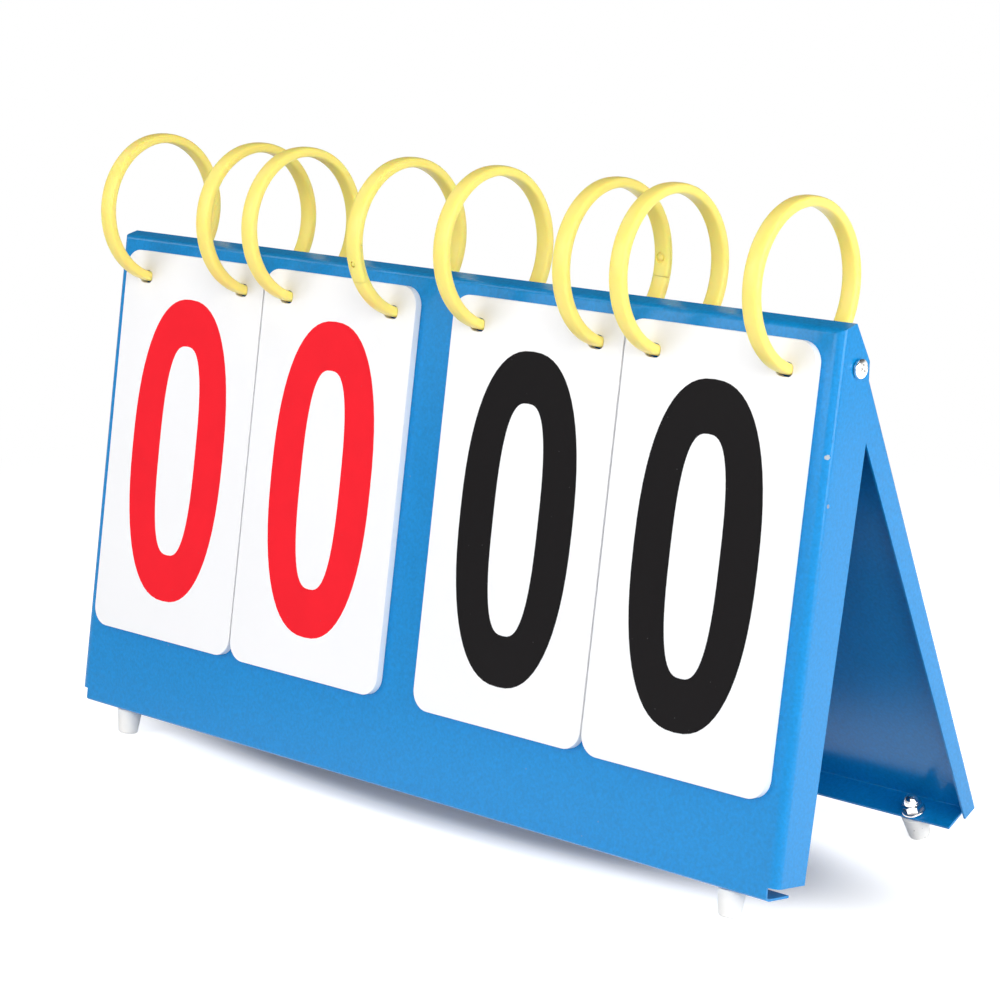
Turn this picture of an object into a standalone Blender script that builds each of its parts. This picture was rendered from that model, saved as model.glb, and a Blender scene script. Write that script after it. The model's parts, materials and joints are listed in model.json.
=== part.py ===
"""Flip scoreboard: two sheet-steel trays hinged as an A-frame, with eight binder rings that
carry four stacks of number leaves. Lengths are in metres, +Z is up and the front faces -Y.
"""

import math

import bmesh
import bpy
from mathutils import Vector

MM = 0.001

# Sheet-steel trays
SHEET = 1.0 * MM
FRONT_WIDTH = 385.0 * MM
FRONT_HEIGHT = 209.0 * MM
FRONT_LEAN = math.radians(8.2)
REAR_LEAN = math.radians(25.3)
SIDE_FOLD = 4.5 * MM
EDGE_FOLD = 1.5 * MM
REAR_FOLD = 1.6 * MM
FOLD_STEPS = 4
SIDE_PLAY = 0.5 * MM
REAR_RISE = 6.0 * MM
REAR_OUT = 6.8 * MM

# Flanges, measured back from the outer face of their tray. The top flange slopes: its fold lies
# below the origin of the tray's frame, and its back edge above it.
TOP_FLANGE = 7.6 * MM
TOP_DROP = 2.0 * MM
TOP_RISE = 1.0 * MM
EAR_FLANGE = 18.2 * MM
EAR_TOP = 12.0 * MM
EAR_LOW = 42.0 * MM
EAR_SWELL = 3.8 * MM
FRONT_FLANGE = 17.0 * MM
FRONT_BASE_FLANGE = 14.5 * MM
REAR_TOP_FLANGE = 11.2 * MM
REAR_EAR = 12.0 * MM
REAR_FLANGE = 8.3 * MM
REAR_BASE_FLANGE = 13.6 * MM
FRONT_RELIEF = 5.5 * MM
REAR_RELIEF = 2.4 * MM
REAR_RELIEF_IN = 4.9 * MM
TRAY_DEPTH = 26.0 * MM

# Hinge
HINGE_DOWN = 14.8 * MM
HINGE_IN = 11.6 * MM
SCREW_RADIUS = 2.0 * MM
SCREW_PLAY = 0.3 * MM
HEAD_RADIUS = 3.7 * MM
HEAD_HEIGHT = 2.4 * MM
HEAD_RIM = 1.1 * MM
RECESS_WIDTH = 1.1 * MM
RECESS_LENGTH = 4.4 * MM
RECESS_DEPTH = 1.3 * MM
INSERT_RADIUS = 4.0 * MM
INSERT_LENGTH = 2.4 * MM
SCREW_PROUD = 0.5 * MM
STOP_GAP = 0.5 * MM

# Gap kept between pieces that bear on each other
SEAT = 0.3 * MM

# Feet and dome nuts
FOOT_HEIGHT = 10.8 * MM
FOOT_TOP_RADIUS = 5.4 * MM
FOOT_BOTTOM_RADIUS = 4.4 * MM
FOOT_EDGE = 1.0 * MM
FOOT_INSET = 25.0 * MM
FRONT_FOOT_IN = 7.9 * MM
REAR_FOOT_IN = 9.65 * MM
STUD_RADIUS = 2.0 * MM
NUT_FLATS = 7.0 * MM
NUT_HEX = 3.2 * MM
NUT_HEIGHT = 8.0 * MM
NUT_FLANGE_RADIUS = 4.7 * MM
NUT_FLANGE = 1.0 * MM
NUT_DOME_RADIUS = 3.2 * MM
NUT_BORE = 5.5 * MM

# Binder rings
RING_RADIUS = 32.3 * MM
RING_DEPTH = 4.2 * MM
RING_WIDTH = 7.0 * MM
RING_CHAMFER = 1.1 * MM
RING_UP = 12.15 * MM
RING_BACK = 1.85 * MM
RING_STEPS = 40
CLASP_HALF = math.radians(14)
CLASP_SLIT = 0.35 * MM
CLASP_STUD_RADIUS = 1.0 * MM
CLASP_STUD_PLAY = 0.3 * MM
CLASP_SINK = 0.2 * MM
CLASP_ANGLES = (-62, -80, -50, 203, -68, 7, -45, -58)

# Number leaves
LEAF_CORNER = 8.0 * MM
LEAF_THICKNESS = 0.25 * MM
LEAF_GAP = 0.07 * MM
LEAF_BACK_GAP = 0.1 * MM
LEAF_COUNT = 10
TOP_MARGIN = 6.9 * MM
BASE_MARGIN = 36.1 * MM
SIDE_MARGIN = 8.1 * MM
CENTRE_GAP = 20.5 * MM
LEAF_SPLIT = 0.9 * MM
HOLE_INSET = 13.2 * MM
HOLE_RADIUS = 4.0 * MM
HOLE_SAG = 0.1 * MM
TRAY_HOLE_RADIUS = 4.6 * MM

ROUND_STEPS = 16
SMALL_STEPS = 12
CORNER_STEPS = 4
STACKS = ("red_tens", "red_ones", "black_tens", "black_ones")

# Worked out from the sizes above
REAR_WIDTH = FRONT_WIDTH - 2 * (SHEET + SIDE_PLAY)
LEAF_WIDTH = (FRONT_WIDTH - 2 * SIDE_MARGIN - CENTRE_GAP - 2 * LEAF_SPLIT) / 4
LEAF_HEIGHT = FRONT_HEIGHT - TOP_MARGIN - BASE_MARGIN
HOLE_SPACING = LEAF_WIDTH - 2 * HOLE_INSET
RING_MEAN = RING_RADIUS - RING_DEPTH / 2
LEAF_PITCH = LEAF_THICKNESS + LEAF_GAP
STACK_DEPTH = LEAF_BACK_GAP + LEAF_COUNT * LEAF_PITCH - LEAF_GAP
FOOT_DROP = SEAT + FOOT_HEIGHT
FOOT_TREAD = FOOT_BOTTOM_RADIUS - FOOT_EDGE


def stand_height():
    """Height of the front tray's top edge when the front feet touch the floor."""
    down, inward = FRONT_HEIGHT + FOOT_DROP, FRONT_FOOT_IN + FOOT_TREAD
    return down * math.cos(FRONT_LEAN) + inward * math.sin(FRONT_LEAN)


def front_point(down, inward):
    """World (y, z) of a point in the front tray's own frame."""
    y = inward * math.cos(FRONT_LEAN) - down * math.sin(FRONT_LEAN)
    z = stand_height() - down * math.cos(FRONT_LEAN) - inward * math.sin(FRONT_LEAN)
    return y, z


def rear_length():
    """Length of the rear tray below the hinge with which its feet reach the floor."""
    hinge_height = front_point(HINGE_DOWN, HINGE_IN)[1]
    inward = REAR_FOOT_IN - REAR_OUT + FOOT_TREAD
    return (hinge_height - inward * math.sin(REAR_LEAN)) / math.cos(REAR_LEAN) - FOOT_DROP


REAR_LENGTH = rear_length()


def ring_drop(offset):
    """Distance down the front tray at which the rings cross a plane this far before its face."""
    return math.sqrt(RING_MEAN**2 - (RING_BACK + offset) ** 2) - RING_UP


# The leaves hang on the rings, so the holes lie a little below them
HOLE_DOWN = ring_drop(STACK_DEPTH / 2) + HOLE_SAG


def stack_centres():
    inner = CENTRE_GAP / 2 + LEAF_WIDTH / 2
    outer = inner + LEAF_WIDTH + LEAF_SPLIT
    return (-outer, -inner, inner, outer)


def ring_places():
    return [x + side * HOLE_SPACING / 2 for x in stack_centres() for side in (-1, 1)]


def rear_edge_down():
    """Top edge of the rear tray's face, just under the rings that rest on it."""
    y, z = front_point(-RING_UP, RING_BACK)
    hinge_y, hinge_z = front_point(HINGE_DOWN, HINGE_IN)
    sine, cosine = math.sin(REAR_LEAN), math.cos(REAR_LEAN)
    below = (hinge_y - y) * sine + (z - hinge_z) * cosine
    outside = (y - hinge_y) * cosine + (z - hinge_z) * sine - REAR_OUT
    return math.sqrt(RING_RADIUS**2 - outside**2) - below + SEAT


def rear_stop():
    """Distance in from the hinge to the ear's corner that meets the fold of the front tray."""
    opening = FRONT_LEAN + REAR_LEAN
    curve = SIDE_FOLD - SHEET
    touch = SIDE_FOLD - math.sqrt(curve**2 - (curve - SIDE_PLAY) ** 2)
    room = HINGE_IN - touch - STOP_GAP
    return (room - REAR_RISE * math.sin(opening)) / math.cos(opening)


def clear_scene():
    for item in list(bpy.data.objects):
        bpy.data.objects.remove(item, do_unlink=True)


def new_collection(name, hidden=False):
    collection = bpy.data.collections.new(name)
    collection.hide_render = hidden
    bpy.context.scene.collection.children.link(collection)
    return collection


def new_material(name, colour, roughness, metallic=0.0):
    material = bpy.data.materials.new(name)
    material.use_nodes = True
    shader = material.node_tree.nodes["Principled BSDF"]
    shader.inputs["Base Color"].default_value = (*colour, 1.0)
    shader.inputs["Roughness"].default_value = roughness
    shader.inputs["Metallic"].default_value = metallic
    material.diffuse_color = (*colour, 1.0)
    return material


def place(name, data, collection, parent=None, location=(0, 0, 0), rotation=(0, 0, 0)):
    item = bpy.data.objects.new(name, data)
    collection.objects.link(item)
    item.parent = parent
    item.location = location
    item.rotation_euler = rotation
    return item


def mesh_of(name, builder):
    mesh = bpy.data.meshes.new(name)
    shape = bmesh.new()
    builder(shape)
    bmesh.ops.recalc_face_normals(shape, faces=shape.faces)
    shape.to_mesh(mesh)
    shape.free()
    return mesh


def box_mesh(name, low, high):
    def build(shape):
        bmesh.ops.create_cube(shape, size=1.0)
        for vertex in shape.verts:
            vertex.co = Vector([a if c < 0 else b for a, b, c in zip(low, high, vertex.co)])

    return mesh_of(name, build)


def prism_mesh(name, outline, half):
    """A closed (y, z) outline swept along X from -half to half."""

    def build(shape):
        face = shape.faces.new([shape.verts.new((-half, y, z)) for y, z in outline])
        swept = bmesh.ops.extrude_face_region(shape, geom=[face])["geom"]
        moved = [item for item in swept if isinstance(item, bmesh.types.BMVert)]
        bmesh.ops.translate(shape, verts=moved, vec=(2 * half, 0, 0))

    return mesh_of(name, build)


def cylinders_mesh(name, radius, ends, steps=ROUND_STEPS):
    """Round bars of one radius, each between two points."""

    def build(shape):
        for start, end in ends:
            start, end = Vector(start), Vector(end)
            turn = (end - start).to_track_quat("Z", "Y").to_matrix().to_4x4()
            turn.translation = (start + end) / 2
            bmesh.ops.create_cone(
                shape,
                cap_ends=True,
                segments=steps,
                radius1=radius,
                radius2=radius,
                depth=(end - start).length,
                matrix=turn,
            )

    return mesh_of(name, build)


def profile_mesh(name, points):
    """An open outline of (radius, height) points, ready for a Screw modifier."""

    def build(shape):
        row = [shape.verts.new((radius, 0, height)) for radius, height in points]
        for first, second in zip(row, row[1:]):
            shape.edges.new((first, second))

    return mesh_of(name, build)


def add_screw(item, axis="Z", steps=ROUND_STEPS):
    screw = item.modifiers.new("turn", "SCREW")
    screw.axis = axis
    screw.steps = steps
    screw.render_steps = steps
    screw.use_merge_vertices = True
    screw.merge_threshold = 1e-6
    return screw


def add_cut(item, cutter, operation="DIFFERENCE"):
    cutter.hide_render = True
    cutter.display_type = "WIRE"
    cut = item.modifiers.new(cutter.name, "BOOLEAN")
    cut.operation = operation
    cut.solver = "EXACT"
    cut.object = cutter
    return cut


def baked(item):
    """The finished mesh of an item with modifiers, which is then removed."""
    graph = bpy.context.evaluated_depsgraph_get()
    mesh = bpy.data.meshes.new_from_object(item.evaluated_get(graph))
    mesh.name = item.name
    bpy.data.objects.remove(item, do_unlink=True)
    return mesh


def smooth(mesh, angle=35):
    mesh.shade_smooth()
    mesh.set_sharp_from_angle(angle=math.radians(angle))


def paint(item, material):
    item.data.materials.clear()
    item.data.materials.append(material)


def tray_surface(name, width, top, bottom, side_fold, slope=None):
    """Face and flanges as one open surface, its fold edges marked for rounding. The top flange
    rises back by its slope, and without one the top stays open."""

    def build(shape):
        bmesh.ops.create_cube(shape, size=1.0)
        for vertex in shape.verts:
            x, y, z = vertex.co
            back = TRAY_DEPTH if y > 0 else 0
            vertex.co = (x * width, back, top + (slope or 0) * back if z > 0 else bottom)
        ways = [Vector((0, 1, 0))] + ([Vector((0, 0, 1))] if slope is None else [])
        gone = [f for f in shape.faces if any(f.normal.dot(way) > 0.9 for way in ways)]
        bmesh.ops.delete(shape, geom=gone, context="FACES")
        weight = shape.edges.layers.float.new("bevel_weight_edge")
        for edge in shape.edges:
            first, second = (vertex.co for vertex in edge.verts)
            if first.y > 0 or second.y > 0 or edge.is_boundary:
                continue
            upright = abs(first.z - second.z) > abs(first.x - second.x)
            edge[weight] = 1.0 if upright else EDGE_FOLD / side_fold

    return mesh_of(name, build)


def add_sheet(item, side_fold):
    rounding = item.modifiers.new("folds", "BEVEL")
    rounding.limit_method = "WEIGHT"
    rounding.width = side_fold
    rounding.segments = FOLD_STEPS
    shell = item.modifiers.new("sheet", "SOLIDIFY")
    shell.thickness = SHEET
    shell.offset = -1.0
    shell.use_even_offset = True


def make_front_tray(parts, cutters, frame):
    slope = (TOP_DROP + TOP_RISE) / TOP_FLANGE
    surface = tray_surface(
        "front_tray", FRONT_WIDTH, -TOP_DROP, -FRONT_HEIGHT, SIDE_FOLD, slope
    )
    tray = place("front_tray", surface, parts, frame)
    add_sheet(tray, SIDE_FOLD)
    past = 2 * SHEET
    outline = (
        (-past, TOP_RISE + past),
        (TOP_FLANGE, TOP_RISE + past),
        (TOP_FLANGE, TOP_RISE),
        (EAR_FLANGE, -EAR_TOP),
        (EAR_FLANGE + EAR_SWELL, -EAR_LOW),
        (FRONT_FLANGE, -FRONT_HEIGHT),
        (FRONT_FLANGE, -FRONT_HEIGHT - past),
        (-past, -FRONT_HEIGHT - past),
    )
    half = FRONT_WIDTH / 2 + past
    keep = place("front_outline", prism_mesh("front_outline", outline, half), cutters, frame)
    add_cut(tray, keep, "INTERSECT")
    size = (FRONT_WIDTH, FRONT_HEIGHT)
    cut_base(tray, cutters, frame, size, SIDE_FOLD, FRONT_RELIEF, FRONT_BASE_FLANGE)
    holes = [((x, -past, -HOLE_DOWN), (x, 2 * past, -HOLE_DOWN)) for x in ring_places()]
    mesh = cylinders_mesh("front_ring_holes", TRAY_HOLE_RADIUS, holes)
    add_cut(tray, place("front_ring_holes", mesh, cutters, frame))
    pin = cylinders_mesh(
        "front_hinge_hole",
        SCREW_RADIUS + SCREW_PLAY,
        [((-half, HINGE_IN, -HINGE_DOWN), (half, HINGE_IN, -HINGE_DOWN))],
    )
    add_cut(tray, place("front_hinge_hole", pin, cutters, frame))
    cut_foot_holes(tray, cutters, frame, FRONT_HEIGHT, FRONT_FOOT_IN)
    return tray


def make_rear_tray(parts, cutters, frame):
    """Its frame has its origin on the hinge axis, so the face lies at y = -REAR_OUT."""
    surface = tray_surface("rear_tray", REAR_WIDTH, REAR_RISE, -REAR_LENGTH, REAR_FOLD)
    tray = place("rear_tray", surface, parts, frame)
    for vertex in surface.vertices:
        vertex.co.y -= REAR_OUT
    add_sheet(tray, REAR_FOLD)
    past = 2 * SHEET
    half = REAR_WIDTH / 2 + past
    flange_in = REAR_BASE_FLANGE - REAR_OUT
    outline = (
        (-REAR_OUT - past, REAR_RISE + past),
        (rear_stop(), REAR_RISE + past),
        (rear_stop(), REAR_RISE),
        (REAR_TOP_FLANGE - REAR_OUT, -REAR_EAR),
        (REAR_FLANGE - REAR_OUT, REAR_RELIEF - REAR_LENGTH),
        (flange_in + past, REAR_RELIEF - REAR_LENGTH),
        (flange_in + past, -REAR_LENGTH - past),
        (-REAR_OUT - past, -REAR_LENGTH - past),
    )
    keep = place("rear_outline", prism_mesh("rear_outline", outline, half), cutters, frame)
    add_cut(tray, keep, "INTERSECT")
    size = (REAR_WIDTH, REAR_LENGTH)
    cut_base(tray, cutters, frame, size, REAR_RELIEF_IN, REAR_RELIEF, flange_in, REAR_OUT)
    reach = leaf_edge() + SEAT + SHEET
    low = (-reach, -REAR_OUT - past, -rear_edge_down())
    high = (reach, REAR_TOP_FLANGE, REAR_RISE + past)
    add_cut(tray, place("rear_step", box_mesh("rear_step", low, high), cutters, frame))
    inner = REAR_WIDTH / 2 - SHEET / 2
    bosses = [
        ((side * (inner - SHEET / 2 - INSERT_LENGTH), 0, 0), (side * inner, 0, 0))
        for side in (-1, 1)
    ]
    mesh = cylinders_mesh("press_nuts", INSERT_RADIUS, bosses)
    add_cut(tray, place("press_nuts", mesh, cutters, frame), "UNION")
    pin = cylinders_mesh("rear_hinge_hole", SCREW_RADIUS + SCREW_PLAY, [((-half, 0, 0), (half, 0, 0))])
    add_cut(tray, place("rear_hinge_hole", pin, cutters, frame))
    cut_foot_holes(tray, cutters, frame, REAR_LENGTH, REAR_FOOT_IN - REAR_OUT)
    return tray


def leaf_edge():
    return stack_centres()[-1] + LEAF_WIDTH / 2


def cut_base(tray, cutters, frame, size, inset, relief, flange_in, out=0.0):
    """Opens the two lower corners and trims the bottom flange where it ends."""
    width, height = size
    past = 2 * SHEET
    for side, name in ((-1, "left"), (1, "right")):
        inner = side * (width / 2 - inset)
        outer = side * (width / 2 + past)
        low = (min(inner, outer), -out - past, -height - past)
        high = (max(inner, outer), TRAY_DEPTH, relief - height)
        title = f"{tray.name}_{name}_relief"
        add_cut(tray, place(title, box_mesh(title, low, high), cutters, frame))
    low = (-width / 2 - past, flange_in, -height - past)
    high = (width / 2 + past, TRAY_DEPTH + past, (relief + SHEET) / 2 - height)
    title = f"{tray.name}_flange_trim"
    add_cut(tray, place(title, box_mesh(title, low, high), cutters, frame))


def foot_places():
    """x of the two feet under each tray."""
    return (FOOT_INSET - FRONT_WIDTH / 2, FRONT_WIDTH / 2 - FOOT_INSET)


def cut_foot_holes(tray, cutters, frame, height, inward):
    past = 2 * SHEET
    ends = [((x, inward, past - height), (x, inward, -height - past)) for x in foot_places()]
    title = f"{tray.name}_foot_holes"
    mesh = cylinders_mesh(title, STUD_RADIUS + SCREW_PLAY, ends)
    add_cut(tray, place(title, mesh, cutters, frame))


def screw_mesh(parts, cutters):
    """Pan-head screw along Z, its head's seat at z = 0 and its shank below."""
    shank = SEAT + SHEET + SIDE_PLAY + SHEET + INSERT_LENGTH + SCREW_PROUD
    points = [(0, HEAD_HEIGHT)]
    points += [
        (HEAD_RADIUS * math.sin(turn), HEAD_RIM + (HEAD_HEIGHT - HEAD_RIM) * math.cos(turn))
        for turn in (math.radians(30), math.radians(60), math.radians(90))
    ]
    points += [(HEAD_RADIUS, 0), (SCREW_RADIUS, 0), (SCREW_RADIUS, -shank), (0, -shank)]
    screw = place("screw", profile_mesh("screw", points), parts)
    add_screw(screw)
    for turn in (0, 1):
        size = (RECESS_LENGTH / 2, RECESS_WIDTH / 2)[:: 1 if turn else -1]
        low = (-size[0], -size[1], HEAD_HEIGHT - RECESS_DEPTH)
        high = (size[0], size[1], HEAD_HEIGHT + RECESS_DEPTH)
        title = f"recess_{turn}"
        add_cut(screw, place(title, box_mesh(title, low, high), cutters))
    return baked(screw)


def foot_mesh(parts):
    """Rubber foot with its moulded stud; the flange's underside is at z = SEAT."""
    bore_end = SEAT + SHEET + SEAT + NUT_BORE
    stud = bore_end - SEAT
    points = [
        (0, stud),
        (STUD_RADIUS, stud),
        (STUD_RADIUS, 0),
        (FOOT_TOP_RADIUS, 0),
        (FOOT_BOTTOM_RADIUS, FOOT_EDGE - FOOT_HEIGHT),
        (FOOT_BOTTOM_RADIUS - FOOT_EDGE, -FOOT_HEIGHT),
        (0, -FOOT_HEIGHT),
    ]
    foot = place("foot", profile_mesh("foot", points), parts)
    add_screw(foot)
    return baked(foot)


def nut_mesh(parts, cutters):
    """Flanged dome nut standing on z = 0."""
    spring = NUT_FLANGE + NUT_HEX
    points = [(0, NUT_HEIGHT)]
    points += [
        (
            NUT_DOME_RADIUS * math.sin(turn),
            spring + (NUT_HEIGHT - spring) * math.cos(turn),
        )
        for turn in (math.radians(30), math.radians(60), math.radians(90))
    ]
    points += [
        (NUT_DOME_RADIUS, NUT_FLANGE),
        (NUT_FLANGE_RADIUS, NUT_FLANGE),
        (NUT_FLANGE_RADIUS, 0),
        (0, 0),
    ]
    nut = place("dome_nut", profile_mesh("dome_nut", points), parts)
    add_screw(nut)
    corner = NUT_FLATS / math.sqrt(3)
    hexagon = cylinders_mesh("hexagon", corner, [((0, 0, NUT_FLANGE / 2), (0, 0, spring))], 6)
    add_cut(nut, place("hexagon", hexagon, cutters), "UNION")
    bore = cylinders_mesh("bore", STUD_RADIUS + SCREW_PLAY, [((0, 0, -NUT_FLANGE), (0, 0, NUT_BORE))])
    add_cut(nut, place("bore", bore, cutters))
    return baked(nut)


def arc(radius, start, end, steps):
    """(y, z) points on a circle about X, from one angle to another."""
    turns = [start + (end - start) * step / steps for step in range(steps + 1)]
    return [(radius * math.cos(turn), radius * math.sin(turn)) for turn in turns]


def ring_mesh(parts, cutters):
    """Flat-section ring about X, slit where its two ends overlap, with a snap stud at angle 0."""
    half, chamfer = RING_WIDTH / 2, RING_CHAMFER
    inner, outer = RING_RADIUS - RING_DEPTH, RING_RADIUS
    section = (
        (half - chamfer, outer),
        (half, outer - chamfer),
        (half, inner + chamfer),
        (half - chamfer, inner),
        (chamfer - half, inner),
        (-half, inner + chamfer),
        (-half, outer - chamfer),
        (chamfer - half, outer),
    )

    def build(shape):
        row = [shape.verts.new((x, radius, 0)) for x, radius in section]
        for first, second in zip(row, row[1:] + row[:1]):
            shape.edges.new((first, second))

    ring = place("ring", mesh_of("ring", build), parts)
    add_screw(ring, "X", RING_STEPS)
    middle = RING_RADIUS - RING_DEPTH / 2
    low, high = middle - CLASP_SLIT / 2, middle + CLASP_SLIT / 2
    gap = CLASP_SLIT / middle
    past = RING_DEPTH
    steps = 4
    slit = arc(high, CLASP_HALF, -CLASP_HALF - gap, steps)
    slit += arc(inner - past, -CLASP_HALF - gap, -CLASP_HALF, 1)
    slit += arc(low, -CLASP_HALF, CLASP_HALF + gap, steps)
    slit += arc(outer + past, CLASP_HALF + gap, CLASP_HALF, 1)
    add_cut(ring, place("clasp_slit", prism_mesh("clasp_slit", slit, RING_WIDTH), cutters))
    drill = cylinders_mesh(
        "clasp_hole",
        CLASP_STUD_RADIUS + CLASP_STUD_PLAY,
        [((0, middle, 0), (0, outer + past, 0))],
        SMALL_STEPS,
    )
    add_cut(ring, place("clasp_hole", drill, cutters))
    stud = cylinders_mesh(
        "clasp_stud",
        CLASP_STUD_RADIUS,
        [((0, middle - CLASP_SLIT - CLASP_SINK, 0), (0, outer - CLASP_SINK, 0))],
        SMALL_STEPS,
    )
    add_cut(ring, place("clasp_stud", stud, cutters), "UNION")
    return baked(ring)


def leaf_curve():
    """Leaf outline about the flip axis: rounded rectangle and two holes, filled and thickened."""
    curve = bpy.data.curves.new("leaf", "CURVE")
    curve.dimensions = "2D"
    curve.fill_mode = "BOTH"
    curve.extrude = LEAF_THICKNESS / 2
    top = -RING_UP - TOP_MARGIN
    bottom = top - LEAF_HEIGHT
    half = LEAF_WIDTH / 2
    corners = (
        (half - LEAF_CORNER, top - LEAF_CORNER, 0),
        (LEAF_CORNER - half, top - LEAF_CORNER, 90),
        (LEAF_CORNER - half, bottom + LEAF_CORNER, 180),
        (half - LEAF_CORNER, bottom + LEAF_CORNER, 270),
    )
    outline = []
    for x, y, start in corners:
        for step in range(CORNER_STEPS + 1):
            turn = math.radians(start + 90 * step / CORNER_STEPS)
            outline.append((x + LEAF_CORNER * math.cos(turn), y + LEAF_CORNER * math.sin(turn)))
    loops = [outline]
    for side in (-1, 1):
        hole = []
        for step in range(SMALL_STEPS):
            turn = math.tau * step / SMALL_STEPS
            x = side * HOLE_SPACING / 2 + HOLE_RADIUS * math.cos(turn)
            hole.append((x, -RING_UP - HOLE_DOWN + HOLE_RADIUS * math.sin(turn)))
        loops.append(hole)
    for loop in loops:
        spline = curve.splines.new("POLY")
        spline.points.add(len(loop) - 1)
        spline.use_cyclic_u = True
        for point, (x, y) in zip(spline.points, loop):
            point.co = (x, y, 0, 1)
    return curve


def make_leaves(parts, frame, material):
    """Ten leaves a stack; the front leaf of each hangs from an empty on the rings' axis."""
    curve = leaf_curve()
    curve.materials.append(material)
    for stack, centre in zip(STACKS, stack_centres()):
        axis = place(f"{stack}_flip_axis", None, parts, frame, (centre, RING_BACK, RING_UP))
        for number in range(LEAF_COUNT):
            before = STACK_DEPTH - LEAF_THICKNESS / 2 - number * LEAF_PITCH
            place(
                f"{stack}_leaf_{number}",
                curve,
                parts,
                axis,
                (0, -before - RING_BACK, 0),
                (math.radians(90), 0, 0),
            )


def make_screws(parts, cutters, rear, steel):
    """The screws thread into the rear tray's press nuts, so they turn with it."""
    mesh = screw_mesh(parts, cutters)
    smooth(mesh)
    for side, name in ((1, "left"), (-1, "right")):
        seat = (side * (FRONT_WIDTH / 2 + SEAT), 0, 0)
        turn = (0, side * math.radians(90), 0)
        paint(place(f"hinge_screw_{name}", mesh, parts, rear, seat, turn), steel)


def make_feet(parts, cutters, front, rear, rubber, steel):
    foot, nut = foot_mesh(parts), nut_mesh(parts, cutters)
    smooth(foot)
    smooth(nut)
    trays = (
        ("front", front, FRONT_HEIGHT, FRONT_FOOT_IN, 1),
        ("rear", rear, REAR_LENGTH, REAR_FOOT_IN - REAR_OUT, -1),
    )
    for tray, frame, height, inward, facing in trays:
        for side, x in zip(("left", "right")[::facing], foot_places()):
            under = (x, inward, -height - SEAT)
            over = (x, inward, SHEET + SEAT - height)
            paint(place(f"foot_{tray}_{side}", foot, parts, frame, under), rubber)
            paint(place(f"dome_nut_{tray}_{side}", nut, parts, frame, over), steel)


def make_rings(parts, cutters, frame, plastic):
    mesh = ring_mesh(parts, cutters)
    smooth(mesh)
    for number, (x, turn) in enumerate(zip(ring_places(), CLASP_ANGLES), 1):
        spot = (x, RING_BACK, RING_UP)
        ring = place(f"ring_{number}", mesh, parts, frame, spot, (math.radians(turn), 0, 0))
        paint(ring, plastic)


def centre_on_floor(root, parts):
    """Moves the whole stand so that its footprint's middle and lowest point are the origin."""
    bpy.context.view_layer.update()
    graph = bpy.context.evaluated_depsgraph_get()
    spots = []
    for item in parts.objects:
        if item.type == "EMPTY":
            continue
        shape = item.evaluated_get(graph)
        mesh = shape.to_mesh()
        spots += [shape.matrix_world @ vertex.co for vertex in mesh.vertices]
        shape.to_mesh_clear()
    low = Vector([min(spot[axis] for spot in spots) for axis in range(3)])
    high = Vector([max(spot[axis] for spot in spots) for axis in range(3)])
    root.location = -Vector(((low.x + high.x) / 2, (low.y + high.y) / 2, low.z))
    bpy.context.view_layer.update()


def main():
    clear_scene()
    parts = new_collection("flip_scoreboard")
    cutters = new_collection("cutters", hidden=True)
    blue = new_material("blue_powder_coat", (0.025, 0.25, 0.62), 0.3)
    yellow = new_material("yellow_plastic", (1.0, 0.86, 0.2), 0.35)
    white = new_material("white_leaf", (0.93, 0.93, 0.94), 0.3)
    cream = new_material("cream_rubber", (0.78, 0.75, 0.68), 0.6)
    steel = new_material("bright_steel", (0.8, 0.8, 0.8), 0.2, 1.0)

    root = place("scoreboard", None, parts)
    front = place("front_frame", None, parts, root, (0, *front_point(0, 0)), (-FRONT_LEAN, 0, 0))
    hinge = (0, *front_point(HINGE_DOWN, HINGE_IN))
    rear = place("rear_frame", None, parts, root, hinge, (-REAR_LEAN, 0, math.pi))
    bpy.context.view_layer.update()

    paint(make_front_tray(parts, cutters, front), blue)
    paint(make_rear_tray(parts, cutters, rear), blue)
    make_screws(parts, cutters, rear, steel)
    make_feet(parts, cutters, front, rear, cream, steel)
    make_rings(parts, cutters, front, yellow)
    make_leaves(parts, front, white)
    centre_on_floor(root, parts)


main()
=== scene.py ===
"""Flip scoreboard: the looks of the folding stand, its binder rings, number leaves, feet
and fasteners. Lengths are in metres, +Z is up and the numbers face -Y.
"""

import json
import math

import bmesh
import bpy
from mathutils import Matrix, Vector


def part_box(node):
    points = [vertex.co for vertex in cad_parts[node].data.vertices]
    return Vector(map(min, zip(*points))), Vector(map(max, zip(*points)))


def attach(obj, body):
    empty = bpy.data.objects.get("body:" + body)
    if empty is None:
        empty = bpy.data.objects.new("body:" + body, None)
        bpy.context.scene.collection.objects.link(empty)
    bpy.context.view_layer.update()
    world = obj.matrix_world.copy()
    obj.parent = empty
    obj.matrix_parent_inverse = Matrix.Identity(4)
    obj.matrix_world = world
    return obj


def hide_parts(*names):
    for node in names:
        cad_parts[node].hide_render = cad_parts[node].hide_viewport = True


bl_info = {
    "name": "Flip Scoreboard",
    "version": (1, 0, 0),
    "blender": (4, 5, 0),
    "location": "3D View > Sidebar > Scoreboard",
    "description": "Dresses a folding flip scoreboard: trays, rings, leaves and feet",
    "category": "Object",
}

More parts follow.
